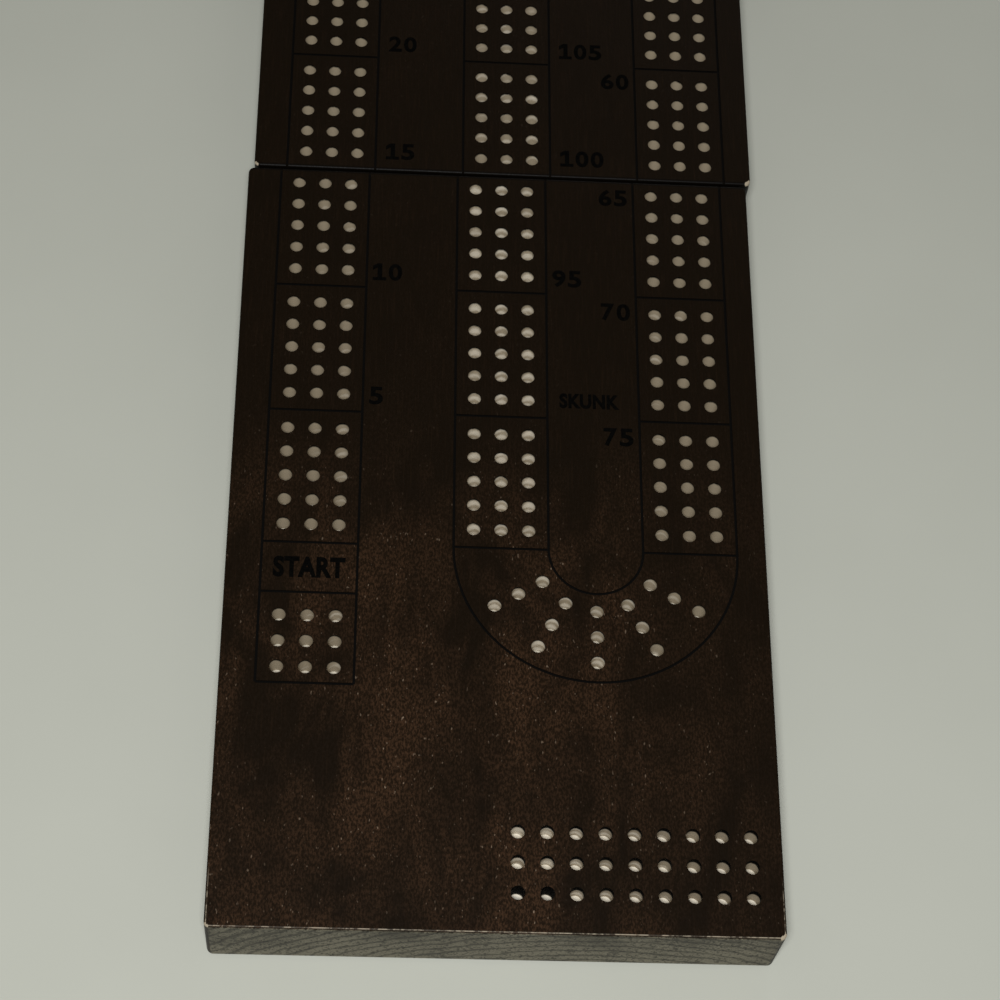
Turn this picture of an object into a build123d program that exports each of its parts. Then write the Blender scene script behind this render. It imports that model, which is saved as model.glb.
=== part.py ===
from build123d import *
import os
from math import cos, radians, sin

# Folding cribbage board box. Two one-piece wooden halves lie open, playing face up, and the far half
# folds down under the near one about two brass butt hinges. Each half has a card pocket routed into
# its underside, and the far half also holds a slim peg drawer that opens at its far end.
# Millimetres, +Z up, +Y away from the player. The origin is on the table under the middle of the
# whole open box, knob included, and every length along Y below is counted from the seam.

# ---- driving dimensions: halves ----
board_width = 125.0
board_length = 196.2        # one half, along Y
board_thickness = 19.05
seam_gap = 0.6              # air between the two seam faces
side_offset = 1.27          # how far the far half sits to the right of the near one
corner_radius = 1.5         # vertical corners
top_edge_radius = 0.6
bottom_edge_radius = 0.4
foot_thickness = 1.2        # lifts the halves to the height of the hinge barrels

# ---- playing field ----
hole_diameter = 3.175
hole_depth = 6.0
hole_pitch = 6.35           # along a track
track_pitch = 6.42          # between the three tracks of a column
holes_per_group = 5
near_groups = 3             # groups in each column of the near half
far_groups = 4
near_row_inset = 4.4        # seam to the nearest row of holes
far_row_inset = 5.2
column_width = 22.0         # between the two lines that frame a column
column_side_margin = 7.5    # outer column line to the long side of the board
far_end_margin = 12.1       # outer line of the big curve to the far end
layout_shift = 0.675        # the field sits this far right of each half's centre line
tracks = (-1, 0, 1)

start_label_length = 12.7   # panel between the last group and the start holes
start_box_length = 22.4     # frame of the three by three start holes
start_row_gap = 5.7         # from its upper line to the first row
start_rows = 3
start_pitch = 6.39

small_curve_drop = 1.0      # the hole arcs are centred this far below the columns' last line
small_curve_draw_in = 1.25  # their middle track is this much tighter than the columns' own
small_curve_step = 30.0     # degrees between holes
curve_pitch = 6.37          # between the tracks on both curves

big_curve_share = 0.75      # corner radius of the big curve, as a share of the column spacing
big_curve_first = 10.0      # degrees from the column to the first hole
big_curve_step = 18.0
finish_inset = 6.3          # finish hole past the last line of the middle column
finish_box_length = 12.6

counter_columns = 9         # game counters, in line with the right column's outer line
counter_rows = 3
counter_pitch_x = 6.41
counter_pitch_y = 6.95
counter_end_inset = 9.2     # near end to the nearest row

groove_width = 0.6
groove_depth = 0.3

# ---- pockets in the underside ----
top_plate = 8.05            # wood left between the playing face and the pockets
pocket_side_wall = 10.0
pocket_start = 14.0         # seam wall
rib_width = 6.0
pocket_corner_radius = 4.0
bay_depth = 46.5            # outer end to the rib, in both halves
well_end_wall = 12.5        # near half: end wall of the peg well
bay_side_wall = 15.5        # far half: wood on each side of the drawer's bay
bay_corner_radius = 3.0
bay_ledge = 5.0             # step that carries the bay floor
bay_floor_thickness = 2.4

# ---- drawer ----
drawer_side_gap = 0.4
drawer_lift = 0.2           # running gap under the drawer
drawer_head_gap = 0.3       # and above it
drawer_rear_gap = 2.5
drawer_front_thickness = 8.0
drawer_wall = 3.0
drawer_side_drop = 1.1      # sides stand lower than the front and the back
drawer_bottom_thickness = 1.4
drawer_bottom_lift = 0.8
drawer_groove = 1.0         # how far the bottom reaches into the sides
drawer_bottom_play = 0.05   # the bottom is this much narrower than its grooves, each side
stop_pin_radius = 1.0
stop_pin_drop = 0.9         # below the bay's ceiling
stop_pin_grip = 4.0         # in the wood
stop_pin_gap = 0.2          # between the pin and the closed front
knob_reach = 7.0
knob_ball_radius = 2.9
knob_neck_radius = 1.5
knob_collar_radius = 2.4
knob_collar_thickness = 0.9
knob_screw_radius = 0.8
knob_screw_head_radius = 1.6
knob_screw_head_depth = 0.9
knob_screw_grip = 3.4       # length inside the knob

# ---- pegs ----
peg_head_radius = 2.0
peg_head_length = 6.0
peg_stem_radius = 1.45
peg_tip_radius = 1.2
peg_pitch = 5.0
peg_first_inset = 3.5       # drawer's left wall to the first peg's axis
peg_tip_gap = 2.4           # drawer's back to the tips
peg_head_gap = 2.6          # drawer's front to the heads
pegs_per_colour = 3
peg_colours = ("brass", "steel", "black")

# ---- hinges ----
hinge_width = 28.0
hinge_depth = 10.4          # pin axis to the edge of a leaf
hinge_side_inset = 24.5     # long side to the middle of a hinge
leaf_thickness = 0.8
leaf_recess = 0.15          # below flush
leaf_corner_radius = 1.0
mortise_gap = 0.2
barrel_radius = 1.2
barrel_relief = 0.25
knuckle_count = 5
knuckle_gap = 0.15
pin_radius = 0.6
pin_bore_gap = 0.03
hinge_screws = 3
hinge_screw_pitch = 9.5
hinge_screw_inset = 6.4     # pin axis to the row of screws
screw_head_radius = 1.7
screw_shank_radius = 0.8
screw_length = 7.0
screw_slot_width = 0.45
screw_slot_depth = 0.35

# ---- magnets, feet, bay floor screws ----
magnet_radius = 3.0
magnet_thickness = 3.0
magnet_side_inset = 5.0     # from the long side
magnet_end_inset = 6.0      # from the outer end
foot_radius = 4.5
near_foot_side_inset = 17.5
near_foot_end_inset = 6.0
far_foot_side_inset = 5.3
far_foot_end_inset = 17.0
floor_screw_side_inset = 2.4
floor_screw_length = 6.0
floor_screw_spacing = 34.0

# ---- derived ----
seam_y = -knob_reach / 2
rim_z = foot_thickness
top_z = rim_z + board_thickness
outer_end = seam_gap / 2 + board_length      # seam to the outer end face
column_spacing = (board_width - column_width) / 2 - column_side_margin
small_curve_radius = column_spacing / 2 - small_curve_draw_in
big_curve_radius = column_spacing * big_curve_share
group_length = hole_pitch * (holes_per_group - 1)
far_field_end = outer_end - far_end_margin - big_curve_radius - column_width / 2
# From the first hole of one group to the first of the next. The last line of a column lies half a
# gap past its last hole, so the groups divide what is left of the far half evenly.
group_pitch = (far_field_end - far_row_inset - group_length / 2) / (far_groups - 1 / 2)
half_gap = (group_pitch - group_length) / 2
near_field_end = near_row_inset + near_groups * group_pitch - half_gap
near_x = -side_offset / 2
far_x = side_offset / 2
pocket_width = board_width - 2 * pocket_side_wall
pocket_depth = board_thickness - top_plate
ceiling_z = rim_z + pocket_depth
second_start = outer_end - bay_depth         # peg well or drawer bay
pocket_length = second_start - rib_width - pocket_start
peg_well_length = bay_depth - well_end_wall
bay_width = board_width - 2 * bay_side_wall
bay_floor_z = rim_z + bay_floor_thickness
bay_floor_width = bay_width + 2 * bay_ledge
bay_floor_start = second_start - rib_width / 2
drawer_z = bay_floor_z + drawer_lift
drawer_top_z = ceiling_z - drawer_head_gap
drawer_side_top_z = drawer_top_z - drawer_side_drop
drawer_width = bay_width - 2 * drawer_side_gap
drawer_back_start = second_start + drawer_rear_gap
drawer_box_start = drawer_back_start + drawer_wall
drawer_front_start = outer_end - drawer_front_thickness
drawer_bottom_z = drawer_z + drawer_bottom_lift
peg_floor_z = drawer_bottom_z + drawer_bottom_thickness
stop_pin_y = drawer_front_start - stop_pin_gap - stop_pin_radius
peg_length = drawer_front_start - drawer_box_start - peg_tip_gap - peg_head_gap
knob_z = (drawer_z + drawer_top_z) / 2
leaf_z = rim_z + leaf_recess
knuckle_length = (hinge_width - knuckle_gap * (knuckle_count - 1)) / knuckle_count

NEAR = -1
FAR = 1
SIT = (Align.CENTER, Align.CENTER, Align.MIN)
os.makedirs("parts", exist_ok=True)


def along(side, distance):
    """Y of a point this far from the seam, on the near (-1) or far (+1) half."""
    return seam_y + side * distance


def save(piece, name):
    """Label a finished piece and write it as its own file."""
    piece.label = name
    export_step(piece, f"parts/{name}.step")


def board_blank(side, x_middle):
    """One half before machining: a block with rounded corners and eased edges."""
    y_middle = along(side, seam_gap / 2 + board_length / 2)
    with BuildPart() as blank:
        with BuildSketch(Plane.XY.offset(rim_z)):
            with Locations((x_middle, y_middle)):
                RectangleRounded(board_width, board_length, corner_radius)
        extrude(amount=board_thickness)
        fillet(blank.faces().sort_by(Axis.Z)[-1].edges(), top_edge_radius)
        fillet(blank.faces().sort_by(Axis.Z)[0].edges(), bottom_edge_radius)
    return blank.part


def column_holes(side, x_field, row_inset, groups):
    """Centres of the straight runs: three columns of three tracks, in groups of five."""
    points = []
    for column in (-1, 0, 1):
        for track in tracks:
            x = x_field + column * column_spacing + track * track_pitch
            for group in range(groups):
                for row in range(holes_per_group):
                    distance = row_inset + group * group_pitch + row * hole_pitch
                    points.append((x, along(side, distance)))
    return points


def small_curve_holes(x_field):
    """Five steps of three tracks, from the right column round to the middle one."""
    x_centre = x_field + column_spacing / 2
    y_centre = along(NEAR, near_field_end + small_curve_drop)
    points = []
    for step in range(holes_per_group):
        angle = radians(-90 + (step - holes_per_group // 2) * small_curve_step)
        for track in tracks:
            radius = small_curve_radius + track * curve_pitch
            points.append((x_centre + radius * cos(angle), y_centre + radius * sin(angle)))
    return points


def big_curve_holes(x_field, y_start):
    """Ten steps of three tracks: five round each corner of the far end."""
    points = []
    corner_x = column_spacing - big_curve_radius
    for hand in (-1, 1):
        for step in range(holes_per_group):
            angle = radians(big_curve_first + step * big_curve_step)
            for track in tracks:
                radius = big_curve_radius + track * curve_pitch
                x = x_field + hand * (corner_x + radius * cos(angle))
                points.append((x, y_start + radius * sin(angle)))
    return points


def drill(points):
    """Blind peg holes in the playing face."""
    with BuildSketch(Plane.XY.offset(top_z)) as rims:
        with Locations(*points):
            Circle(hole_diameter / 2)
    extrude(rims.sketch, amount=-hole_depth, mode=Mode.SUBTRACT)


def engrave(paths):
    """Shallow lines in the playing face, one for each list of corner points."""
    with BuildSketch(Plane.XY.offset(top_z)) as strokes:
        for path in paths:
            with BuildLine():
                Polyline(*path)
            trace(line_width=groove_width)
    extrude(strokes.sketch, amount=-groove_depth, mode=Mode.SUBTRACT)


def engrave_arcs(arcs):
    """Shallow arcs in the playing face: centre, radius, start angle and sweep of each."""
    with BuildSketch(Plane.XY.offset(top_z)) as strokes:
        for centre, radius, start, sweep_angle in arcs:
            with BuildLine():
                CenterArc(centre, radius, start, sweep_angle)
            trace(line_width=groove_width)
    extrude(strokes.sketch, amount=-groove_depth, mode=Mode.SUBTRACT)


def cut_pocket(x, side, start, length, width, radius, depth):
    """A routed pocket in the underside, its near edge this far from the seam."""
    with BuildSketch(Plane.XY.offset(rim_z)) as mouth:
        with Locations((x, along(side, start + length / 2))):
            RectangleRounded(width, length, radius)
    extrude(mouth.sketch, amount=depth, mode=Mode.SUBTRACT)


def hinge_centres():
    """X of the two hinges."""
    reach = board_width / 2 - hinge_side_inset
    return (-reach, reach)


def hinge_screw_points(side):
    """Screw centres of both leaves on one half."""
    points = []
    for x_hinge in hinge_centres():
        for number in range(hinge_screws):
            x = x_hinge + (number - (hinge_screws - 1) / 2) * hinge_screw_pitch
            points.append((x, along(side, hinge_screw_inset)))
    return points


def cut_hinge_seats(side):
    """Leaf mortises, barrel clearance and screw pilots in the seam wall."""
    with BuildSketch(Plane.XY.offset(rim_z)) as mortises:
        for x_hinge in hinge_centres():
            with Locations((x_hinge, along(side, hinge_depth / 2))):
                Rectangle(hinge_width + 2 * mortise_gap, hinge_depth + 2 * mortise_gap)
    extrude(mortises.sketch, amount=leaf_recess + leaf_thickness, mode=Mode.SUBTRACT)
    for x_hinge in hinge_centres():
        with Locations(Location((x_hinge, seam_y, rim_z), (0, 90, 0))):
            Cylinder(
                barrel_radius + barrel_relief,
                hinge_width + 2 * mortise_gap,
                mode=Mode.SUBTRACT,
            )
    with BuildSketch(Plane.XY.offset(leaf_z)) as pilots:
        with Locations(*hinge_screw_points(side)):
            Circle(screw_shank_radius)
    extrude(pilots.sketch, amount=screw_length, mode=Mode.SUBTRACT)


def magnet_points(side, x_middle):
    """Two magnets at the outer end, in line with those of the other half when folded."""
    x_inset = board_width / 2 - magnet_side_inset
    y = along(side, outer_end - magnet_end_inset)
    return [(x_middle - x_inset, y), (x_middle + x_inset, y)]


def cut_discs(points, radius, depth):
    """Round seats in the underside."""
    with BuildSketch(Plane.XY.offset(rim_z)) as seats:
        with Locations(*points):
            Circle(radius)
    extrude(seats.sketch, amount=depth, mode=Mode.SUBTRACT)


def discs(points, z, radius, thickness):
    """A set of equal discs that stand on height z."""
    with BuildPart() as group:
        with BuildSketch(Plane.XY.offset(z)):
            with Locations(*points):
                Circle(radius)
        extrude(amount=thickness)
    return group.part


def countersunk_screws(points, z, head_depth, length):
    """Slotted screws driven upwards, heads flush with height z."""
    with BuildPart() as group:
        for x, y in points:
            with Locations((x, y, z)):
                Cone(screw_head_radius, screw_shank_radius, head_depth, align=SIT)
                Cylinder(screw_shank_radius, length, align=SIT)
                Box(
                    2 * screw_head_radius,
                    screw_slot_width,
                    screw_slot_depth,
                    align=SIT,
                    mode=Mode.SUBTRACT,
                )
    return group.part


def hinge_leaf(side, x_hinge):
    """Flat leaf with its share of the knuckles: odd ones on the near leaf, even on the far."""
    first = x_hinge - hinge_width / 2
    step = knuckle_length + knuckle_gap
    mine = 0 if side == NEAR else 1
    with BuildPart() as leaf:
        with BuildSketch(Plane.XY.offset(leaf_z)):
            with Locations((x_hinge, along(side, hinge_depth / 2))):
                Rectangle(hinge_width, hinge_depth)
        extrude(amount=leaf_thickness)
        outer = leaf.edges().filter_by(Axis.Z).sort_by(Axis.Y)
        fillet(outer[:2] if side == NEAR else outer[-2:], leaf_corner_radius)
        for number in range(knuckle_count):
            x = first + number * step + knuckle_length / 2
            here = Location((x, seam_y, rim_z), (0, 90, 0))
            if number % 2 == mine:
                with Locations(here):
                    Cylinder(barrel_radius, knuckle_length)
            else:
                with Locations(here):
                    Cylinder(
                        barrel_radius + barrel_relief,
                        knuckle_length + 2 * knuckle_gap,
                        mode=Mode.SUBTRACT,
                    )
        with Locations(Location((x_hinge, seam_y, rim_z), (0, 90, 0))):
            Cylinder(pin_radius + pin_bore_gap, hinge_width, mode=Mode.SUBTRACT)
        for x, y in hinge_screw_points(side):
            if abs(x - x_hinge) < hinge_width / 2:
                with Locations((x, y, leaf_z)):
                    Cone(
                        screw_head_radius,
                        screw_shank_radius,
                        leaf_thickness,
                        align=SIT,
                        mode=Mode.SUBTRACT,
                    )
    return leaf.part


# ---- near half ----
near_field_x = near_x + layout_shift
start_label_end = near_field_end + start_label_length
start_box_end = start_label_end + start_box_length
start_row_inset = start_label_end + start_row_gap
start_holes = [
    (
        near_field_x - column_spacing + track * track_pitch,
        along(NEAR, start_row_inset + row * start_pitch),
    )
    for row in range(start_rows)
    for track in tracks
]
counter_last_x = near_field_x + column_spacing + column_width / 2
counter_last_row = outer_end - counter_end_inset
counter_holes = [
    (
        counter_last_x - column * counter_pitch_x,
        along(NEAR, counter_last_row - row * counter_pitch_y),
    )
    for column in range(counter_columns)
    for row in range(counter_rows)
]
near_lines = []
for column in (-1, 0, 1):
    line_end = start_box_end if column == -1 else near_field_end
    for edge in (-1, 1):
        x_line = near_field_x + column * column_spacing + edge * column_width / 2
        near_lines.append([(x_line, along(NEAR, seam_gap / 2)), (x_line, along(NEAR, line_end))])
    ends = [near_row_inset + group * group_pitch - half_gap for group in range(1, near_groups + 1)]
    if column == -1:
        ends += [start_label_end, start_box_end]
    for end in ends:
        x_left = near_field_x + column * column_spacing - column_width / 2
        near_lines.append([(x_left, along(NEAR, end)), (x_left + column_width, along(NEAR, end))])
small_curve_centre = (near_field_x + column_spacing / 2, along(NEAR, near_field_end))

with BuildPart() as near_board:
    add(board_blank(NEAR, near_x))
    cut_pocket(near_x, NEAR, pocket_start, pocket_length, pocket_width, pocket_corner_radius, pocket_depth)
    cut_pocket(near_x, NEAR, second_start, peg_well_length, pocket_width, pocket_corner_radius, pocket_depth)
    cut_hinge_seats(NEAR)
    cut_discs(magnet_points(NEAR, near_x), magnet_radius, magnet_thickness)
    drill(column_holes(NEAR, near_field_x, near_row_inset, near_groups))
    drill(start_holes + small_curve_holes(near_field_x) + counter_holes)
    engrave(near_lines)
    engrave_arcs([
        (small_curve_centre, column_spacing / 2 + column_width / 2, 180, 180),
        (small_curve_centre, column_spacing / 2 - column_width / 2, 180, 180),
    ])
save(near_board.part, "near_board")

# ---- far half ----
far_field_x = far_x + layout_shift
far_lines = []
for column in (-1, 0, 1):
    for edge in (-1, 1):
        x_line = far_field_x + column * column_spacing + edge * column_width / 2
        line_end = far_field_end + (finish_box_length if column == 0 else 0)
        far_lines.append([(x_line, along(FAR, seam_gap / 2)), (x_line, along(FAR, line_end))])
    ends = [far_row_inset + group * group_pitch - half_gap for group in range(1, far_groups + 1)]
    if column == 0:
        ends += [far_field_end + finish_box_length]
    for end in ends:
        x_left = far_field_x + column * column_spacing - column_width / 2
        far_lines.append([(x_left, along(FAR, end)), (x_left + column_width, along(FAR, end))])
big_corner_x = column_spacing - big_curve_radius
big_curve_arcs = []
for reach in (-1, 1):
    radius = big_curve_radius + reach * column_width / 2
    y_top = along(FAR, far_field_end + radius)
    far_lines.append([(far_field_x - big_corner_x, y_top), (far_field_x + big_corner_x, y_top)])
    y_corner = along(FAR, far_field_end)
    big_curve_arcs.append(((far_field_x + big_corner_x, y_corner), radius, 0, 90))
    big_curve_arcs.append(((far_field_x - big_corner_x, y_corner), radius, 90, 90))
finish_hole = (far_field_x, along(FAR, far_field_end + finish_inset))
floor_screw_x = bay_floor_width / 2 - floor_screw_side_inset
floor_middle = (bay_floor_start + outer_end) / 2
floor_screw_points = [
    (far_x + hand * floor_screw_x, along(FAR, floor_middle + end * floor_screw_spacing / 2))
    for hand in (-1, 1)
    for end in (-1, 1)
]
stop_pin_z = ceiling_z - stop_pin_drop

with BuildPart() as far_board:
    add(board_blank(FAR, far_x))
    cut_pocket(far_x, FAR, pocket_start, pocket_length, pocket_width, pocket_corner_radius, pocket_depth)
    # The bay runs out through the far end, so it is drawn longer than the board.
    bay_length = outer_end - second_start + bay_corner_radius * 2
    cut_pocket(far_x, FAR, second_start, bay_length, bay_width, bay_corner_radius, pocket_depth)
    floor_seat_length = outer_end - bay_floor_start + bay_corner_radius * 2
    cut_pocket(
        far_x, FAR, bay_floor_start, floor_seat_length, bay_floor_width, corner_radius, bay_floor_thickness
    )
    cut_hinge_seats(FAR)
    cut_discs(magnet_points(FAR, far_x), magnet_radius, magnet_thickness)
    drill(column_holes(FAR, far_field_x, far_row_inset, far_groups))
    drill(big_curve_holes(far_field_x, along(FAR, far_field_end)) + [finish_hole])
    engrave(far_lines)
    engrave_arcs(big_curve_arcs)
    with BuildSketch(Plane.XY.offset(bay_floor_z)):
        with Locations(*floor_screw_points):
            Circle(screw_shank_radius)
    extrude(amount=floor_screw_length - bay_floor_thickness, mode=Mode.SUBTRACT)
    with BuildSketch(Plane.XY.offset(ceiling_z)):
        with Locations((far_x, along(FAR, stop_pin_y))):
            Circle(stop_pin_radius)
    extrude(amount=stop_pin_grip, mode=Mode.SUBTRACT)
save(far_board.part, "far_board")

# ---- hinges ----
for side, half in ((NEAR, "near"), (FAR, "far")):
    for x_hinge, hand in zip(hinge_centres(), ("left", "right")):
        save(hinge_leaf(side, x_hinge), f"hinge_leaf_{half}_{hand}")
    screws = countersunk_screws(hinge_screw_points(side), leaf_z, leaf_thickness, screw_length)
    save(screws, f"hinge_screws_{half}")

for x_hinge, hand in zip(hinge_centres(), ("left", "right")):
    with BuildPart() as hinge_pin:
        with Locations(Location((x_hinge, seam_y, rim_z), (0, 90, 0))):
            Cylinder(pin_radius, hinge_width)
    save(hinge_pin.part, f"hinge_pin_{hand}")

# ---- closing magnets and felt feet ----
near_foot_y = along(NEAR, outer_end - near_foot_end_inset)
near_foot_x = board_width / 2 - near_foot_side_inset
near_feet = [(near_x - near_foot_x, near_foot_y), (near_x + near_foot_x, near_foot_y)]
far_foot_x = board_width / 2 - far_foot_side_inset
far_foot_y = along(FAR, outer_end - far_foot_end_inset)
far_feet = [(far_x - far_foot_x, far_foot_y), (far_x + far_foot_x, far_foot_y)]

save(discs(magnet_points(NEAR, near_x), rim_z, magnet_radius, magnet_thickness), "magnets_near")
save(discs(magnet_points(FAR, far_x), rim_z, magnet_radius, magnet_thickness), "magnets_far")
save(discs(near_feet, 0, foot_radius, foot_thickness), "feet_near")
save(discs(far_feet, 0, foot_radius, foot_thickness), "feet_far")

# ---- drawer bay floor ----
bay_floor_length = outer_end - bay_floor_start
with BuildPart() as bay_floor:
    with BuildSketch(Plane.XY.offset(rim_z)):
        with Locations((far_x, along(FAR, bay_floor_start + bay_floor_length / 2))):
            Rectangle(bay_floor_width, bay_floor_length)
    extrude(amount=bay_floor_thickness)
    inner_corners = bay_floor.edges().filter_by(Axis.Z).sort_by(Axis.Y)[:2]
    fillet(inner_corners, corner_radius)
    for x, y in floor_screw_points:
        with Locations((x, y, rim_z)):
            Cone(
                screw_head_radius, screw_shank_radius, leaf_thickness, align=SIT, mode=Mode.SUBTRACT
            )
            Cylinder(screw_shank_radius, bay_floor_thickness, align=SIT, mode=Mode.SUBTRACT)
save(bay_floor.part, "bay_floor")
save(countersunk_screws(floor_screw_points, rim_z, leaf_thickness, floor_screw_length), "bay_floor_screws")

with BuildPart() as stop_pin:
    with BuildSketch(Plane.XY.offset(stop_pin_z)):
        with Locations((far_x, along(FAR, stop_pin_y))):
            Circle(stop_pin_radius)
    extrude(amount=stop_pin_drop + stop_pin_grip)
save(stop_pin.part, "drawer_stop_pin")

# ---- drawer ----
drawer_height = drawer_top_z - drawer_z
side_height = drawer_side_top_z - drawer_z
side_length = drawer_front_start - drawer_back_start
knob_face = along(FAR, outer_end)
front_middle = along(FAR, drawer_front_start + drawer_front_thickness / 2)
knob_axis = Location((far_x, along(FAR, drawer_front_start), knob_z), (-90, 0, 0))

with BuildPart() as drawer_front:
    with BuildSketch(Plane.XY.offset(drawer_z)):
        with Locations((far_x, front_middle)):
            Rectangle(drawer_width, drawer_front_thickness)
    extrude(amount=drawer_height)
    fillet(drawer_front.faces().sort_by(Axis.Y)[-1].edges(), bottom_edge_radius)
    with Locations(knob_axis):
        Cone(
            knob_screw_head_radius, knob_screw_radius, knob_screw_head_depth, align=SIT, mode=Mode.SUBTRACT
        )
        Cylinder(knob_screw_radius, drawer_front_thickness, align=SIT, mode=Mode.SUBTRACT)
save(drawer_front.part, "drawer_front")

for hand, name in ((-1, "left"), (1, "right")):
    x_side = far_x + hand * (drawer_width - drawer_wall) / 2
    with BuildPart() as drawer_side:
        with BuildSketch(Plane.XY.offset(drawer_z)):
            with Locations((x_side, along(FAR, drawer_back_start + side_length / 2))):
                Rectangle(drawer_wall, side_length)
        extrude(amount=side_height)
        with BuildSketch(Plane.XY.offset(drawer_bottom_z)):
            groove_x = x_side - hand * (drawer_wall - drawer_groove) / 2
            with Locations((groove_x, along(FAR, drawer_box_start + side_length / 2))):
                Rectangle(drawer_groove, side_length)
        extrude(amount=drawer_bottom_thickness, mode=Mode.SUBTRACT)
    save(drawer_side.part, f"drawer_side_{name}")

with BuildPart() as drawer_back:
    with BuildSketch(Plane.XY.offset(drawer_z)):
        with Locations((far_x, along(FAR, drawer_back_start + drawer_wall / 2))):
            Rectangle(drawer_width - 2 * drawer_wall, drawer_wall)
    extrude(amount=drawer_height)
save(drawer_back.part, "drawer_back")

bottom_width = drawer_width - 2 * (drawer_wall - drawer_groove + drawer_bottom_play)
bottom_length = drawer_front_start - drawer_box_start
with BuildPart() as drawer_bottom:
    with BuildSketch(Plane.XY.offset(drawer_bottom_z)):
        with Locations((far_x, along(FAR, drawer_box_start + bottom_length / 2))):
            Rectangle(bottom_width, bottom_length)
    extrude(amount=drawer_bottom_thickness)
save(drawer_bottom.part, "drawer_bottom")

# ---- drawer knob and its screw ----
ball_y = knob_face + knob_reach - knob_ball_radius
collar_y = knob_face + knob_collar_thickness
neck_meet = (knob_ball_radius**2 - knob_neck_radius**2) ** 0.5
with BuildPart() as drawer_knob:
    with BuildSketch(Plane.XY.offset(knob_z)):
        with BuildLine():
            Polyline(
                (far_x, knob_face),
                (far_x + knob_collar_radius, knob_face),
                (far_x + knob_collar_radius, collar_y),
                (far_x + knob_neck_radius, collar_y),
                (far_x + knob_neck_radius, ball_y - neck_meet),
            )
            ThreePointArc(
                (far_x + knob_neck_radius, ball_y - neck_meet),
                (far_x + knob_ball_radius, ball_y),
                (far_x, knob_face + knob_reach),
            )
            Line((far_x, knob_face + knob_reach), (far_x, knob_face))
        make_face()
    revolve(axis=Axis((far_x, 0, knob_z), (0, 1, 0)))
    with Locations(Location((far_x, knob_face, knob_z), (-90, 0, 0))):
        Cylinder(knob_screw_radius, knob_screw_grip, align=SIT, mode=Mode.SUBTRACT)
save(drawer_knob.part, "drawer_knob")

with BuildPart() as knob_screw:
    with Locations(knob_axis):
        Cone(knob_screw_head_radius, knob_screw_radius, knob_screw_head_depth, align=SIT)
        Cylinder(knob_screw_radius, drawer_front_thickness + knob_screw_grip, align=SIT)
        Box(
            2 * knob_screw_head_radius,
            screw_slot_width,
            screw_slot_depth,
            align=SIT,
            mode=Mode.SUBTRACT,
        )
save(knob_screw.part, "knob_screw")

# ---- pegs: three of each colour, lying side by side in the drawer ----
first_peg_x = far_x - drawer_width / 2 + drawer_wall + peg_first_inset
peg_tip_y = along(FAR, drawer_box_start + peg_tip_gap)
peg_z = peg_floor_z + peg_head_radius
for batch, colour in enumerate(peg_colours):
    with BuildPart() as pegs:
        for number in range(pegs_per_colour):
            x = first_peg_x + (batch * pegs_per_colour + number) * peg_pitch
            neck_y = peg_tip_y + peg_length - peg_head_length
            with BuildSketch(Plane.XY.offset(peg_z)):
                with BuildLine():
                    Polyline(
                        (x, peg_tip_y),
                        (x + peg_tip_radius, peg_tip_y),
                        (x + peg_stem_radius, neck_y),
                        (x + peg_head_radius, neck_y),
                        (x + peg_head_radius, peg_tip_y + peg_length),
                        (x, peg_tip_y + peg_length),
                        (x, peg_tip_y),
                    )
                make_face()
            revolve(axis=Axis((x, 0, peg_z), (0, 1, 0)))
    save(pegs.part, f"pegs_{colour}")
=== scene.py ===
# %% [markdown]
# # A folding cribbage box
# This lesson dresses a wooden scoring board that folds in half. The solid pieces (two hinged
# halves, brass hinges, a peg drawer) come ready made at their real size. What is left for
# Blender is the look: dark stain over pale wood, burnt lines and numbers, brass, steel and felt,
# and a camera that stands where the photographer stood.

# %% Load the solid pieces
import bpy
from math import pi, radians
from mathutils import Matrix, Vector


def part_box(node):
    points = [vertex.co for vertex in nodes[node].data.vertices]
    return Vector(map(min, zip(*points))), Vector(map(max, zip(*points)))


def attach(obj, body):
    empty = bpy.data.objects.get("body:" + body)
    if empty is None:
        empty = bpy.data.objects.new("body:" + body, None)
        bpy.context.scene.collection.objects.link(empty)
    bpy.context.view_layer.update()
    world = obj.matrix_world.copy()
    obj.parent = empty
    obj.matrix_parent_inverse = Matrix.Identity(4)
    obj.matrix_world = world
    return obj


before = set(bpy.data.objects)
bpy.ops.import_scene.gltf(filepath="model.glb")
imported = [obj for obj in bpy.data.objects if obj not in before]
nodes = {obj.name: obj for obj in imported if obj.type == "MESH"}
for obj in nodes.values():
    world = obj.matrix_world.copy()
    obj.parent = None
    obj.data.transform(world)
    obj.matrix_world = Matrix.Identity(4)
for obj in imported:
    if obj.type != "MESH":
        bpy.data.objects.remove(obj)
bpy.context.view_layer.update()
bpy.ops.object.select_all(action="DESELECT")
print("solid pieces:", len(nodes))

# %% [markdown]
# Everything is measured in metres, so one helper turns millimetres into metres, and the sizes
# that the pattern needs are read from the solid pieces themselves: where each half lies, how
# high its playing face is, and where the seam between the halves runs.

# %% Units and places
def mm(value):
    """Millimetres to metres."""
    return value / 1000


near_low, near_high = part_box("near_board")
far_low, far_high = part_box("far_board")
face_z = near_high.z
rim_z = near_low.z
half_width = (near_high.x - near_low.x) / 2
half_length = (near_high.y - near_low.y) / 2
near_middle = (near_low + near_high) / 2
far_middle = (far_low + far_high) / 2
seam_y = (near_high.y + far_low.y) / 2
print("playing face", round(face_z * 1000, 2), "mm up, seam at", round(seam_y * 1000, 2), "mm")

# %% [markdown]
# ## How a finish is built
# A finish is a small network of nodes. One helper adds a node, sets it up and links it, so that
# each network below reads like a recipe. Colours are picked as ordinary screen colours (hex),
# and a second helper turns them into the linear values that the renderer works with.

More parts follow.
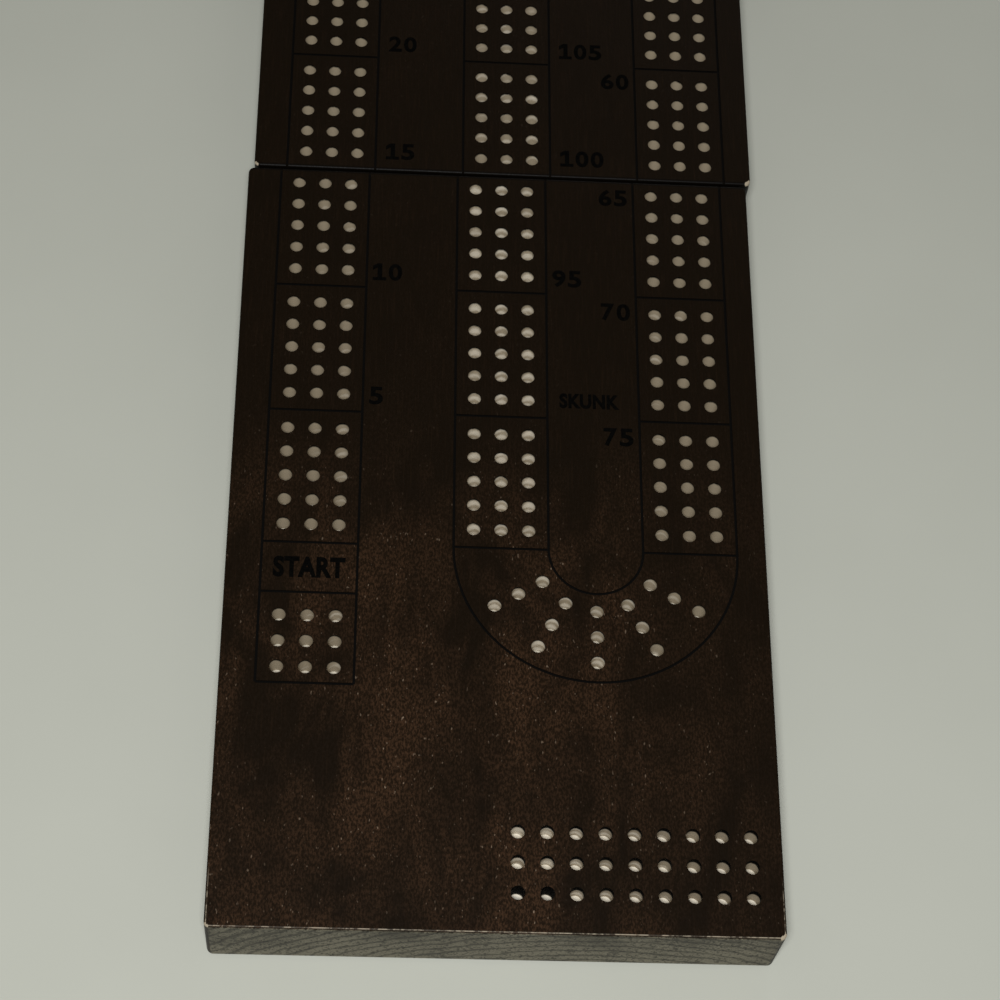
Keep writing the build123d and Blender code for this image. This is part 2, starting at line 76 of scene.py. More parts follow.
# %% Node and colour helpers
def add_node(tree, kind, inputs=None, stops=None, **settings):
    """Add one node. inputs maps a socket's name or number to a value, a socket or a node."""
    node = tree.nodes.new("ShaderNode" + kind)
    for name, value in settings.items():
        setattr(node, name, value)
    for name, value in (inputs or {}).items():
        if isinstance(value, bpy.types.Node):
            value = value.outputs[0]
        if isinstance(value, bpy.types.NodeSocket):
            tree.links.new(value, node.inputs[name])
        else:
            node.inputs[name].default_value = value
    if stops:
        ramp = node.color_ramp
        while len(ramp.elements) < len(stops):
            ramp.elements.new(1.0)
        for element, (position, colour) in zip(ramp.elements, stops):
            element.position = position
            element.color = colour
    return node


def screen_colour(code):
    """A hex colour such as "C8B89A" as linear red, green, blue and alpha."""
    channels = [int(code[i:i + 2], 16) / 255 for i in (0, 2, 4)]
    linear = [c / 12.92 if c <= 0.04045 else ((c + 0.055) / 1.055) ** 2.4 for c in channels]
    return (*linear, 1.0)


def per_metre(size_mm):
    """Noise scale whose features are about this many millimetres across."""
    return 1000 / size_mm


def ring_scale(spacing_mm):
    """Wave texture scale whose bands are this many millimetres apart."""
    spacing_at_one = 2 * pi / 20        # how far apart Blender draws them at a scale of 1
    return spacing_at_one / mm(spacing_mm)


def new_finish(name):
    """An empty material and its node tree, with the output node in place."""
    material = bpy.data.materials.new(name)
    material.use_nodes = True
    material.node_tree.nodes.clear()
    return material, material.node_tree


def close_finish(material, shader):
    """Link the shader to the material's output and name what was made."""
    add_node(material.node_tree, "OutputMaterial", {"Surface": shader})
    print("finish:", material.name, len(material.node_tree.nodes), "nodes")
    return material


print("screen grey 808080 is", round(screen_colour("808080")[0], 3), "in linear light")

# %% [markdown]
# ## Stained hardwood
# Each half is one piece of pale, fine grained hardwood. It was stained almost black, then the
# lines were burnt and the peg holes drilled. So the colour depends on how deep a point lies: the
# skin is espresso brown, the shallow grooves are charred, and the inside of a hole or pocket is
# raw wood with a little stain run in at its mouth. A painted picture wrapped round the board
# could show this too, but a recipe that asks for the depth needs no unwrapping and reaches into
# every hole.
#
# The wood itself is a solid pattern: growth rings about an axis that lies along the board, below
# it. The playing face then shows long streaks and the end faces show arcs, as sawn wood does.

# %% Wood pattern shared by the stained and the raw surfaces
ring_spacing = 3.4          # mm between growth rings
ring_centre_x = 22.0        # mm, the tree's middle from the board's centre line
ring_centre_z = -62.0       # mm, and below the table
ring_stretch = 0.12         # the rings' pattern is this much slower along the board
fibre_width = 0.45          # mm
fibre_length = 9.0
pore_size = 0.42


def wood_pattern(tree, middle):
    """Growth rings, long fibres and pores, each from 0 to 1, round a piece's own middle."""
    place = add_node(tree, "TexCoord")
    centred = add_node(tree, "Mapping", {
        "Vector": place.outputs["Object"],
        "Location": (-middle.x, -middle.y, 0.0),
    })
    tree_middle = add_node(tree, "Mapping", {
        "Vector": centred,
        "Location": (mm(-ring_centre_x), 0.0, mm(-ring_centre_z)),
        "Rotation": (radians(1.6), 0.0, radians(0.9)),
        "Scale": (1.0, ring_stretch, 1.0),
    })
    rings = add_node(tree, "TexWave", {
        "Vector": tree_middle,
        "Scale": ring_scale(ring_spacing),
        "Distortion": 5.0,
        "Detail": 4.0,
        "Detail Scale": 0.9,
        "Detail Roughness": 0.6,
    }, wave_type="RINGS", rings_direction="Y", wave_profile="SIN")
    stretched = add_node(tree, "Mapping", {
        "Vector": centred,
        "Scale": (per_metre(fibre_width), per_metre(fibre_length), per_metre(fibre_width)),
    })
    fibres = add_node(tree, "TexNoise", {
        "Vector": stretched, "Scale": 1.0, "Detail": 5.0, "Roughness": 0.6,
    })
    speckled = add_node(tree, "Mapping", {
        "Vector": centred,
        "Scale": (per_metre(pore_size), per_metre(pore_size * 2), per_metre(pore_size)),
    })
    pores = add_node(tree, "TexNoise", {
        "Vector": speckled, "Scale": 1.0, "Detail": 3.0, "Roughness": 0.7,
    })
    return {"centred": centred, "rings": rings, "fibres": fibres, "pores": pores}


print("growth rings every", ring_spacing, "mm, fibres", fibre_length, "mm long")

# %% [markdown]
# Stain, wear, chips and the painted sheen don't follow the grain, so they get patterns of their
# own: slow clouds, small flecks, and blots a few millimetres wide that break up any line drawn
# along an edge. Each is noise whose scale comes from a size in millimetres.

# %% Blotches that the stain, the wear and the painted sheen follow
cloud_size = (15, 34, 20)   # mm across, along and through the board
fleck_size = (0.6, 1.3, 0.6)
blot_size = 2.4


def add_blotches(tree, wood):
    """Clouds, flecks and blots, each from 0 to 1, beside the patterns of the wood."""
    cloud_place = add_node(tree, "Mapping", {
        "Vector": wood["centred"], "Scale": [per_metre(size) for size in cloud_size],
    })
    wood["clouds"] = add_node(tree, "TexNoise", {
        "Vector": cloud_place, "Scale": 1.0, "Detail": 3.0, "Roughness": 0.6, "Distortion": 0.4,
    })
    fleck_place = add_node(tree, "Mapping", {
        "Vector": wood["centred"], "Scale": [per_metre(size) for size in fleck_size],
    })
    wood["flecks"] = add_node(tree, "TexNoise", {
        "Vector": fleck_place, "Scale": 1.0, "Detail": 1.0, "Roughness": 0.5,
    })
    wood["blots"] = add_node(tree, "TexNoise", {
        "Vector": wood["centred"], "Scale": per_metre(blot_size), "Detail": 4.0, "Roughness": 0.7,
    })


print("stain clouds about", cloud_size[0], "by", cloud_size[1], "mm")

# %% [markdown]
# The recipe also has to know where a point lies: how far in from the sides and ends, how deep
# under the playing face, and how high above the rim underneath. Each is a sum or two on its
# coordinates, measured from the middle of its half. Soft masks are then made from these
# distances.

# %% Places on a half
pocket_limit = mm(7)        # holes end above this depth, pockets begin below it


def places_on_half(tree, centred, is_near):
    """Distances from the sides, ends, playing face and rim of a half, and two masks from them."""
    axes = add_node(tree, "SeparateXYZ", {0: centred})
    reach_x = add_node(tree, "Math", {0: axes.outputs["X"]}, operation="ABSOLUTE")
    reach_y = add_node(tree, "Math", {0: axes.outputs["Y"]}, operation="ABSOLUTE")
    from_side = add_node(tree, "Math", {0: half_width, 1: reach_x}, operation="SUBTRACT")
    from_end = add_node(tree, "Math", {0: half_length, 1: reach_y}, operation="SUBTRACT")
    from_edge = add_node(tree, "Math", {0: from_side, 1: from_end}, operation="MINIMUM")
    player_end = add_node(tree, "Math", {0: half_length, 1: axes.outputs["Y"]}, operation="ADD")
    outer_end = add_node(tree, "Math", {
        0: half_length, 1: axes.outputs["Y"],
    }, operation="ADD" if is_near else "SUBTRACT")
    seam_end = add_node(tree, "Math", {0: 2 * half_length, 1: outer_end}, operation="SUBTRACT")
    depth = add_node(tree, "Math", {0: face_z, 1: axes.outputs["Z"]}, operation="SUBTRACT")
    height = add_node(tree, "Math", {0: axes.outputs["Z"], 1: rim_z}, operation="SUBTRACT")
    inside = add_node(tree, "MapRange", {
        "Value": from_edge, "From Min": mm(0.7), "From Max": mm(0.8), "To Min": 0.0, "To Max": 1.0,
    })
    above_pockets = add_node(tree, "Math", {0: depth, 1: pocket_limit}, operation="LESS_THAN")
    return {
        "x": axes.outputs["X"], "y": axes.outputs["Y"], "reach_x": reach_x, "from_side": from_side,
        "player_end": player_end, "outer_end": outer_end, "seam_end": seam_end, "depth": depth,
        "height": height, "inside": inside, "above_pockets": above_pockets,
    }


print("each half is", round(half_width * 2000, 1), "by", round(half_length * 2000, 1), "mm")

# %% [markdown]
# The stain itself is mostly near black, with cloudy patches where it was wiped thinner and the
# brown wood shows through between dark pores. On the player's end of the near half, fading to
# the right, the patches are much stronger: that is painted sheen, the lamp's glare on the finish
# put into the colour. A few pale flecks show where a fibre has lost its stain.

# %% Espresso stain and painted sheen
stain_black = screen_colour("130C05")
# the brown of thin stain, and of the painted sheen patches
stain_brown = screen_colour("3A281A")
stain_fleck = screen_colour("94806C")
rub_and_sheen_start = half_length * 0.35      # wear and painted sheen grow on the near half from here to the player's end
rub_and_sheen_full = -half_length * 0.25
off_the_half = (mm(-400), mm(-500))  # for a change that a half doesn't have: beyond its ends


def espresso_stain(tree, wood, place, is_near):
    """The stained skin with its painted sheen patches, and the mask of wear and painted sheen."""
    rubbed_and_sheen_from, rubbed_and_sheen_to = (rub_and_sheen_start, rub_and_sheen_full) if is_near else off_the_half
    thin_stain = add_node(tree, "MapRange", {
        "Value": wood["clouds"], "From Min": 0.38, "From Max": 0.62, "To Min": 0.05, "To Max": 1.0,
    })
    # painted sheen: the strong brown patches at the player's end of the near half, fading to the
    # right, are the lamp's glare put into the colour; the same mask also sets the edge wear
    rubbed_and_sheen = add_node(tree, "MapRange", {
        "Value": place["y"], "From Min": rubbed_and_sheen_from, "From Max": rubbed_and_sheen_to,
        "To Min": 0.06, "To Max": 1.0,
    }, interpolation_type="SMOOTHSTEP")
    off_right = add_node(tree, "MapRange", {
        "Value": place["x"], "From Min": mm(10), "From Max": mm(60), "To Min": 1.0, "To Max": 0.3,
    })
    thin_stain_and_sheen = add_node(tree, "Math", {0: thin_stain, 1: rubbed_and_sheen}, operation="MULTIPLY")
    thin_stain_and_sheen = add_node(tree, "Math", {0: thin_stain_and_sheen, 1: off_right}, operation="MULTIPLY")
    grainy = add_node(tree, "MapRange", {
        "Value": wood["pores"], "From Min": 0.44, "From Max": 0.62, "To Min": 0.12, "To Max": 1.0,
    })
    glow_and_sheen = add_node(tree, "Math", {0: thin_stain_and_sheen, 1: grainy}, operation="MULTIPLY")
    streaks = add_node(tree, "MapRange", {
        "Value": wood["fibres"], "From Min": 0.52, "From Max": 0.8, "To Min": 0.0, "To Max": 0.16,
    })
    glow_and_sheen = add_node(tree, "Math", {0: glow_and_sheen, 1: streaks}, operation="ADD", use_clamp=True)
    skin = add_node(tree, "Mix", {0: glow_and_sheen, 6: stain_black, 7: stain_brown}, data_type="RGBA")
    bare_fibres = add_node(tree, "MapRange", {
        "Value": wood["flecks"], "From Min": 0.71, "From Max": 0.79, "To Min": 0.0, "To Max": 0.6,
    })
    bare_fibres = add_node(tree, "Math", {0: bare_fibres, 1: thin_stain_and_sheen}, operation="MULTIPLY")
    skin = add_node(tree, "Mix", {
        0: bare_fibres, 6: skin.outputs[2], 7: stain_fleck,
    }, data_type="RGBA")
    return skin.outputs[2], rubbed_and_sheen


# the stretch where the painted sheen and the wear are strongest
print("hands have rubbed the last", round((half_length + rub_and_sheen_full) * 1000), "mm the most")

# %% [markdown]
# End grain takes the stain unevenly. The outer end faces are greyer, partly because the end grain
# held less stain and partly as a painted reflection of the bright table, seen at a grazing angle.
# They are a little paler towards the table, and show wavy arcs of rings with open pores that stay
# dark. They get a tone of their own, made from the same patterns as the rest, so that the arcs
# meet the streaks of the face.

# %% End grain
end_stain_dark = screen_colour("1F1C17")
# grey of the end faces: end grain with less stain, and a painted reflection of the bright table
end_stain_and_reflection = screen_colour("797464")


def end_grain(tree, wood, place, skin):
    """The skin with its outer end face done as stained end grain, its grey partly a painted
    reflection.
    """
    specks = add_node(tree, "MapRange", {
        "Value": wood["flecks"], "From Min": 0.36, "From Max": 0.46, "To Min": 0.25, "To Max": 1.0,
    })
    arcs = add_node(tree, "MapRange", {
        "Value": wood["rings"], "From Min": 0.0, "From Max": 0.4, "To Min": 0.35, "To Max": 1.0,
    })
    soaked = add_node(tree, "MapRange", {
        "Value": wood["clouds"], "From Min": 0.35, "From Max": 0.6, "To Min": 0.55, "To Max": 1.15,
    })
    fine = add_node(tree, "MapRange", {
        "Value": wood["pores"], "From Min": 0.3, "From Max": 0.7, "To Min": 0.3, "To Max": 1.45,
    })
    tone = add_node(tree, "Math", {0: arcs, 1: specks}, operation="MULTIPLY")
    tone = add_node(tree, "Math", {0: tone, 1: soaked}, operation="MULTIPLY")
    tone = add_node(tree, "Math", {0: tone, 1: fine}, operation="MULTIPLY")
    paler_towards_table = add_node(tree, "MapRange", {
        "Value": place["depth"], "From Min": mm(2), "From Max": mm(17),
        "To Min": 0.75, "To Max": 1.25,
    })
    tone = add_node(tree, "Math", {0: tone, 1: paler_towards_table}, operation="MULTIPLY")
    end_colour = add_node(tree, "Mix", {
        0: tone, 6: end_stain_dark, 7: end_stain_and_reflection,
    }, data_type="RGBA")
    is_end = add_node(tree, "MapRange", {
        "Value": place["outer_end"], "From Min": mm(0.05), "From Max": mm(0.2),
        "To Min": 1.0, "To Max": 0.0,
    })
    skin = add_node(tree, "Mix", {0: is_end, 6: skin, 7: end_colour.outputs[2]}, data_type="RGBA")
    return skin.outputs[2]


print("end grain goes up to", round(end_stain_and_reflection[0], 3), "of full red, linear")

# %% [markdown]
# Edges tell how old a board is. Where the playing face starts to turn down at the player's end,
# a thin broken line has worn pale, which fades out along the sides. The corners at the player's
# side of each half are chipped down to the wood. The edges that meet at the seam are painted
# black: painted shade, where the gap between the halves lies in shadow. Each is a narrow band at
# a distance that the last step worked out.

# %% Seam shade and worn edges
# black of the char, also used for the painted shade at the seam
char_and_shade = screen_colour("050403")
worn_edge = screen_colour("A89C88")
worn_line_in = mm(0.42)     # from the edge to the middle of the worn line
seam_shade_reach = mm(1.0)        # the painted shade beside the seam


def seam_shade_and_worn_edges(tree, wood, place, rubbed_and_sheen, skin):
    """The skin with painted shade at its seam edges, its worn line and its chipped corners."""
    # painted shade: the seam's edges go black where the gap between the halves lies in shadow
    seam_shade = add_node(tree, "MapRange", {
        "Value": place["seam_end"], "From Min": mm(0.4), "From Max": seam_shade_reach,
        "To Min": 0.85, "To Max": 0.0,
    })
    skin = add_node(tree, "Mix", {0: seam_shade, 6: skin, 7: char_and_shade}, data_type="RGBA")

    dashes = add_node(tree, "MapRange", {
        "Value": wood["blots"], "From Min": 0.44, "From Max": 0.56, "To Min": 0.1, "To Max": 1.0,
    })
    outer_edge = add_node(tree, "Math", {
        0: place["from_side"], 1: place["outer_end"],
    }, operation="MINIMUM")
    off_line = add_node(tree, "Math", {0: outer_edge, 1: worn_line_in}, operation="SUBTRACT")
    off_line = add_node(tree, "Math", {0: off_line}, operation="ABSOLUTE")
    on_line = add_node(tree, "MapRange", {
        "Value": off_line, "From Min": mm(0.07), "From Max": mm(0.14),
        "To Min": 1.0, "To Max": 0.0,
    })
    near_face = add_node(tree, "MapRange", {
        "Value": place["depth"], "From Min": mm(0.15), "From Max": mm(0.25),
        "To Min": 1.0, "To Max": 0.0,
    })
    wear = add_node(tree, "Math", {0: dashes, 1: on_line}, operation="MULTIPLY")
    wear = add_node(tree, "Math", {0: wear, 1: near_face}, operation="MULTIPLY")
    wear = add_node(tree, "Math", {0: wear, 1: rubbed_and_sheen}, operation="MULTIPLY")
    by_outer_end = add_node(tree, "MapRange", {
        "Value": place["outer_end"], "From Min": mm(6), "From Max": mm(14),
        "To Min": 0.75, "To Max": 0.0,
    })
    wear = add_node(tree, "Math", {0: wear, 1: by_outer_end}, operation="MULTIPLY")

    corner_place = add_node(tree, "CombineXYZ", {
        0: place["from_side"], 1: place["player_end"], 2: place["depth"],
    })
    corner_way = add_node(tree, "VectorMath", {0: corner_place}, operation="LENGTH")
    chip_reach = add_node(tree, "MapRange", {
        "Value": wood["blots"], "From Min": 0.35, "From Max": 0.65,
        "To Min": mm(0.5), "To Max": mm(1.5),
    })
    chips = add_node(tree, "Math", {
        0: corner_way.outputs["Value"], 1: chip_reach,
    }, operation="LESS_THAN")
    wear = add_node(tree, "Math", {0: wear, 1: chips}, operation="MAXIMUM")
    skin = add_node(tree, "Mix", {0: wear, 6: skin.outputs[2], 7: worn_edge}, data_type="RGBA")
    return skin.outputs[2]


print("worn line", round(worn_line_in * 1000, 2), "mm in from the edge")


# %% [markdown]
# The laser that cut the lines left char in them, and so did the drill at the mouths of the
# holes. Whatever lies just under the face, away from the outer edges, is therefore black. The
# pockets start deeper, and nothing burnt those.

# %% Char
def charred_wood(tree, place, skin):
    """The skin with its burnt lines and hole mouths, and the mask that says where it is burnt."""
    below_face = add_node(tree, "MapRange", {
        "Value": place["depth"], "From Min": mm(0.01), "From Max": mm(0.04),
        "To Min": 0.0, "To Max": 1.0,
    })
    burnt = add_node(tree, "Math", {0: place["inside"], 1: below_face}, operation="MULTIPLY")
    burnt = add_node(tree, "Math", {0: burnt, 1: place["above_pockets"]}, operation="MULTIPLY")
    skin = add_node(tree, "Mix", {0: burnt, 6: skin, 7: char_and_shade}, data_type="RGBA")
    return skin.outputs[2], burnt


print("char is", round(char_and_shade[0], 4), "of full red, linear")

# %% [markdown]
# Deeper down the wood is raw, because the stain never reached it. A drill rubs the wall of its
# hole and cuts the floor clean, so the floor is the palest part. Holes in the outer columns are
# painted a little darker than those in the middle, and those of the far half darker all over:
# painted shade, for those holes get less light. So the colour runs from light to dark with the
# grain, and with the way from the middle line.

# %% Raw wood
raw_light = screen_colour("E2D9C7")
raw_dark = screen_colour("AC9F88")
fresh_cut = screen_colour("D8D2C4")
drill_depth = mm(6.0)       # of every peg hole
drift_size = 7              # mm
far_shade = 0.3              # painted shade: how much darker the far half's raw wood starts
side_shade = 0.6             # and how much more painted shade it gets towards the sides


def raw_wood(tree, wood, place, is_near):
    """Colour of the bare wood in pockets, on hole walls and floors, with painted shade at the
    sides.
    """
    least_shade = 0.0 if is_near else far_shade
    drift = add_node(tree, "TexNoise", {
        "Vector": wood["centred"], "Scale": per_metre(drift_size), "Detail": 2.0, "Roughness": 0.5,
    })
    # painted shade: raw wood darker in the outer columns and on the far half, where holes get less
    # light
    raw_shade = add_node(tree, "MapRange", {
        "Value": place["reach_x"], "From Min": mm(20), "From Max": mm(48),
        "To Min": least_shade, "To Max": least_shade + side_shade,
    })
    blend = add_node(tree, "Math", {0: wood["fibres"], 1: wood["rings"]}, operation="MULTIPLY")
    blend = add_node(tree, "Math", {0: blend, 1: drift}, operation="ADD")
    blend = add_node(tree, "Math", {0: blend, 1: raw_shade}, operation="ADD")
    colour = add_node(tree, "ValToRGB", {"Fac": blend}, stops=[(0.55, raw_light), (1.2, raw_dark)])
    on_floor = add_node(tree, "MapRange", {
        "Value": place["depth"],
        "From Min": drill_depth - mm(0.3), "From Max": drill_depth - mm(0.05),
        "To Min": 0.0, "To Max": 0.85,
    })
    on_floor = add_node(tree, "Math", {
        0: on_floor, 1: place["above_pockets"],
    }, operation="MULTIPLY")
    colour = add_node(tree, "Mix", {0: on_floor, 6: colour, 7: fresh_cut}, data_type="RGBA")
    return colour.outputs[2]


print("peg holes are", drill_depth * 1000, "mm deep")

# %% [markdown]
# Where does the stain end and the raw wood begin? It ran into each mouth by a ragged half
# millimetre. Towards the player's end the dark band at the mouths reaches deeper, and two counter
# holes are dark almost to the floor. The mask stays clear of the groove floors, which lie 0.3 mm
# down, and of the rim underneath.

# %% How deep the dark band at each mouth reaches
deeper_start = mm(-40)         # the dark band in the mouths reaches deeper between these places along the near half
deeper_full = mm(-85)
run_least = mm(0.4)
dark_most = mm(1.9)
dark_pair_x = mm(7.6)           # between the two holes that are dark almost to the floor
dark_pair_y = mm(-89.0)
dark_pair_floor = mm(0.6)       # what shows raw above their floors
groove_floor = mm(0.32)


def raw_mask(tree, wood, place, is_near):
    """1 where the wood shows raw, 0 where it is dark, with a soft ragged border."""
    deeper_from, deeper_to = (deeper_start, deeper_full) if is_near else off_the_half
    dark_pair_depth = drill_depth - dark_pair_floor - dark_most if is_near else 0.0
    dark_depth = add_node(tree, "MapRange", {
        "Value": place["y"], "From Min": deeper_from, "From Max": deeper_to,
        "To Min": run_least, "To Max": dark_most,
    })
    plan_place = add_node(tree, "CombineXYZ", {0: place["x"], 1: place["y"]})
    dark_pair_way = add_node(tree, "VectorMath", {
        0: plan_place, 1: (dark_pair_x, dark_pair_y, 0.0),
    }, operation="DISTANCE")
    dark_pair = add_node(tree, "MapRange", {
        "Value": dark_pair_way.outputs["Value"], "From Min": mm(5.0), "From Max": mm(5.6),
        "To Min": dark_pair_depth, "To Max": 0.0,
    })
    dark_depth = add_node(tree, "Math", {0: dark_depth, 1: dark_pair}, operation="ADD")
    ragged = add_node(tree, "MapRange", {
        "Value": wood["blots"], "From Min": 0.3, "From Max": 0.7,
        "To Min": mm(-0.3), "To Max": mm(0.3),
    })
    past_dark = add_node(tree, "Math", {0: place["depth"], 1: dark_depth}, operation="SUBTRACT")
    past_dark = add_node(tree, "Math", {0: past_dark, 1: ragged}, operation="ADD")
    clean = add_node(tree, "MapRange", {
        "Value": past_dark, "From Min": mm(-0.1), "From Max": mm(0.5), "To Min": 0.0, "To Max": 1.0,
    })
    below_groove = add_node(tree, "Math", {
        0: place["depth"], 1: groove_floor,
    }, operation="GREATER_THAN")
    off_rim = add_node(tree, "MapRange", {
        "Value": place["height"], "From Min": mm(0.1), "From Max": mm(0.3),
        "To Min": 0.0, "To Max": 1.0,
    })
    raw_here = add_node(tree, "Math", {0: clean, 1: below_groove}, operation="MULTIPLY")
    raw_here = add_node(tree, "Math", {0: raw_here, 1: off_rim}, operation="MULTIPLY")
    return add_node(tree, "Math", {0: raw_here, 1: place["inside"]}, operation="MULTIPLY")


# the larger figure is the deepest dark band, at the player's end
print("the stain ran in", run_least * 1000, "to", dark_most * 1000, "mm")

# %% [markdown]
# Now the parts of the recipe go together, once for each half. Stained wood keeps a dull sheen,
# while char and raw wood have none, so the roughness follows the same masks. A fine bump from
# fibres and pores lets the light catch the grain.

# %% One finish for each half
sheen = 0.07                # specular level: a thin wiped stain hardly shines
grain_relief = mm(0.08)


def espresso_stained_hardwood(name, middle, is_near):
    """Fine hardwood, stained espresso, burnt and drilled: near black skin, pale holes."""
    material, tree = new_finish(name)
    wood = wood_pattern(tree, middle)
    add_blotches(tree, wood)
    place = places_on_half(tree, wood["centred"], is_near)
    skin, rubbed_and_sheen = espresso_stain(tree, wood, place, is_near)
    skin = end_grain(tree, wood, place, skin)
    skin = seam_shade_and_worn_edges(tree, wood, place, rubbed_and_sheen, skin)
    skin, burnt = charred_wood(tree, place, skin)
    raw_colour = raw_wood(tree, wood, place, is_near)
    raw_here = raw_mask(tree, wood, place, is_near)
    colour = add_node(tree, "Mix", {0: raw_here, 6: skin, 7: raw_colour}, data_type="RGBA")
    polish = add_node(tree, "MapRange", {
        "Value": wood["pores"], "From Min": 0.3, "From Max": 0.7, "To Min": 0.36, "To Max": 0.5,
    })
    dry = add_node(tree, "Math", {0: raw_here, 1: burnt}, operation="MAXIMUM")
    roughness = add_node(tree, "Mix", {0: dry, 2: polish, 3: 0.8}, data_type="FLOAT")
    relief = add_node(tree, "Math", {0: wood["fibres"], 1: wood["pores"]}, operation="ADD")
    bump = add_node(tree, "Bump", {"Height": relief, "Strength": 0.35, "Distance": grain_relief})
    shader = add_node(tree, "BsdfPrincipled", {
        "Base Color": colour.outputs[2],
        "Roughness": roughness.outputs[0],
        "Specular IOR Level": sheen,
        "Normal": bump,
    })
    return close_finish(material, shader)


def dress(node_name, material):
    """Give a solid piece its finish."""
    data = nodes[node_name].data
    data.materials.clear()
    data.materials.append(material)


dress("near_board", espresso_stained_hardwood("espresso_hardwood_near", near_middle, True))
dress("far_board", espresso_stained_hardwood("espresso_hardwood_far", far_middle, False))

# %% [markdown]
# The drawer's front and the panel that closes its bay are thin stained strips of the same wood.
# They have no holes or char, so a shorter recipe does: the same pattern, its own middle.

# %% Stained strips
def espresso_stained_strip(name, middle):
    """Espresso stained hardwood strip, planed: near black, with brown where fibres stand up."""
    material, tree = new_finish(name)
    wood = wood_pattern(tree, middle)
    tone = add_node(tree, "Math", {0: wood["fibres"], 1: wood["pores"]}, operation="MULTIPLY")
    colour = add_node(tree, "ValToRGB", {"Fac": tone}, stops=[
        (0.12, stain_black), (0.42, stain_brown), (0.62, stain_fleck),
    ])
    roughness = add_node(tree, "MapRange", {
        "Value": wood["pores"], "From Min": 0.3, "From Max": 0.7, "To Min": 0.38, "To Max": 0.52,
    })
    bump = add_node(tree, "Bump", {
        "Height": wood["fibres"], "Strength": 0.35, "Distance": grain_relief,
    })
    shader = add_node(tree, "BsdfPrincipled", {
        "Base Color": colour, "Roughness": roughness, "Specular IOR Level": sheen, "Normal": bump,
    })
    return close_finish(material, shader)


front_low, front_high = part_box("drawer_front")
dress("drawer_front", espresso_stained_strip("espresso_strip_front", (front_low + front_high) / 2))
panel_low, panel_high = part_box("bay_floor")
dress("bay_floor", espresso_stained_strip("espresso_strip_panel", (panel_low + panel_high) / 2))

# %% [markdown]
# The drawer's box is bare planed wood. Planing leaves a faint sheen and a pale colour, with
# fibres that run along each part: across for the back and the bottom, lengthways for the sides.
# One recipe does for all four, because a quarter turn of the pattern is all that tells them
# apart.

# %% Planed drawer wood
drawer_fibre_width = 0.8    # mm
drawer_fibre_length = 14


def planed_hardwood(name, middle, across):
    """Bare planed hardwood, pale and matt, its fibres along Y, or along X where it lies across."""
    material, tree = new_finish(name)
    place = add_node(tree, "TexCoord")
    turned = add_node(tree, "Mapping", {
        "Vector": place.outputs["Object"],
        "Location": (-middle.x, -middle.y, -middle.z),
    })
    turned = add_node(tree, "Mapping", {
        "Vector": turned, "Rotation": (0.0, 0.0, radians(90) if across else 0.0),
    })
    stretched = add_node(tree, "Mapping", {
        "Vector": turned,
        "Scale": (
            per_metre(drawer_fibre_width), per_metre(drawer_fibre_length),
            per_metre(drawer_fibre_width),
        ),
    })
    fibres = add_node(tree, "TexNoise", {
        "Vector": stretched, "Scale": 1.0, "Detail": 5.0, "Roughness": 0.6, "Distortion": 0.3,
    })
    colour = add_node(tree, "ValToRGB", {"Fac": fibres}, stops=[
        (0.3, screen_colour("D2BE97")),
        (0.5, screen_colour("C2AA80")),
        (0.72, screen_colour("9E8259")),
    ])
    bump = add_node(tree, "Bump", {"Height": fibres, "Strength": 0.3, "Distance": mm(0.06)})
    shader = add_node(tree, "BsdfPrincipled", {
        "Base Color": colour, "Roughness": 0.6, "Specular IOR Level": 0.3, "Normal": bump,
    })
    return close_finish(material, shader)


for part, across in (
    ("drawer_side_left", False),
    ("drawer_side_right", False),
    ("drawer_back", True),
    ("drawer_bottom", True),
):
    low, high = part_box(part)
    dress(part, planed_hardwood("planed_hardwood_" + part, (low + high) / 2, across))

# %% [markdown]
# ## Metals and felt
# Hinges and screws are stamped brass that has gone dull: brown tarnish in clouds, brighter where
# it is handled. A metal has no colour of its own under its gloss, so the shader is fully
# metallic, the tarnish goes into its colour, and the same clouds make it rougher.

# %% Stamped brass
tarnish_size = 3.5          # mm
rolling_length = 9          # mm, the marks that the rolling mill left
rolling_width = 0.18


def tarnished_sheet_brass(name):
    """Stamped sheet brass, never polished: dull yellow, brown clouds, fine rolling marks."""
    material, tree = new_finish(name)
    place = add_node(tree, "TexCoord")
    clouds = add_node(tree, "TexNoise", {
        "Vector": place.outputs["Object"],
        "Scale": per_metre(tarnish_size), "Detail": 5.0, "Roughness": 0.65,
    })
    rolled_place = add_node(tree, "Mapping", {
        "Vector": place.outputs["Object"],
        "Scale": (per_metre(rolling_length), per_metre(rolling_width), per_metre(rolling_width)),
    })
    rolled = add_node(tree, "TexNoise", {
        "Vector": rolled_place, "Scale": 1.0, "Detail": 3.0, "Roughness": 0.6,
    })
    colour = add_node(tree, "ValToRGB", {"Fac": clouds}, stops=[
        (0.3, screen_colour("7A5B2C")),
        (0.52, screen_colour("B08D4C")),
        (0.7, screen_colour("C9A862")),
    ])
    roughness = add_node(tree, "MapRange", {
        "Value": clouds, "From Min": 0.3, "From Max": 0.7, "To Min": 0.5, "To Max": 0.28,
    })
    bump = add_node(tree, "Bump", {"Height": rolled, "Strength": 0.2, "Distance": mm(0.02)})
    shader = add_node(tree, "BsdfPrincipled", {
        "Base Color": colour, "Metallic": 1.0, "Roughness": roughness, "Normal": bump,
    })
    return close_finish(material, shader)


sheet_brass = tarnished_sheet_brass("tarnished_sheet_brass")
for part in sorted(nodes):
    if part.startswith("hinge_") or part in ("bay_floor_screws", "drawer_stop_pin", "knob_screw"):
        dress(part, sheet_brass)

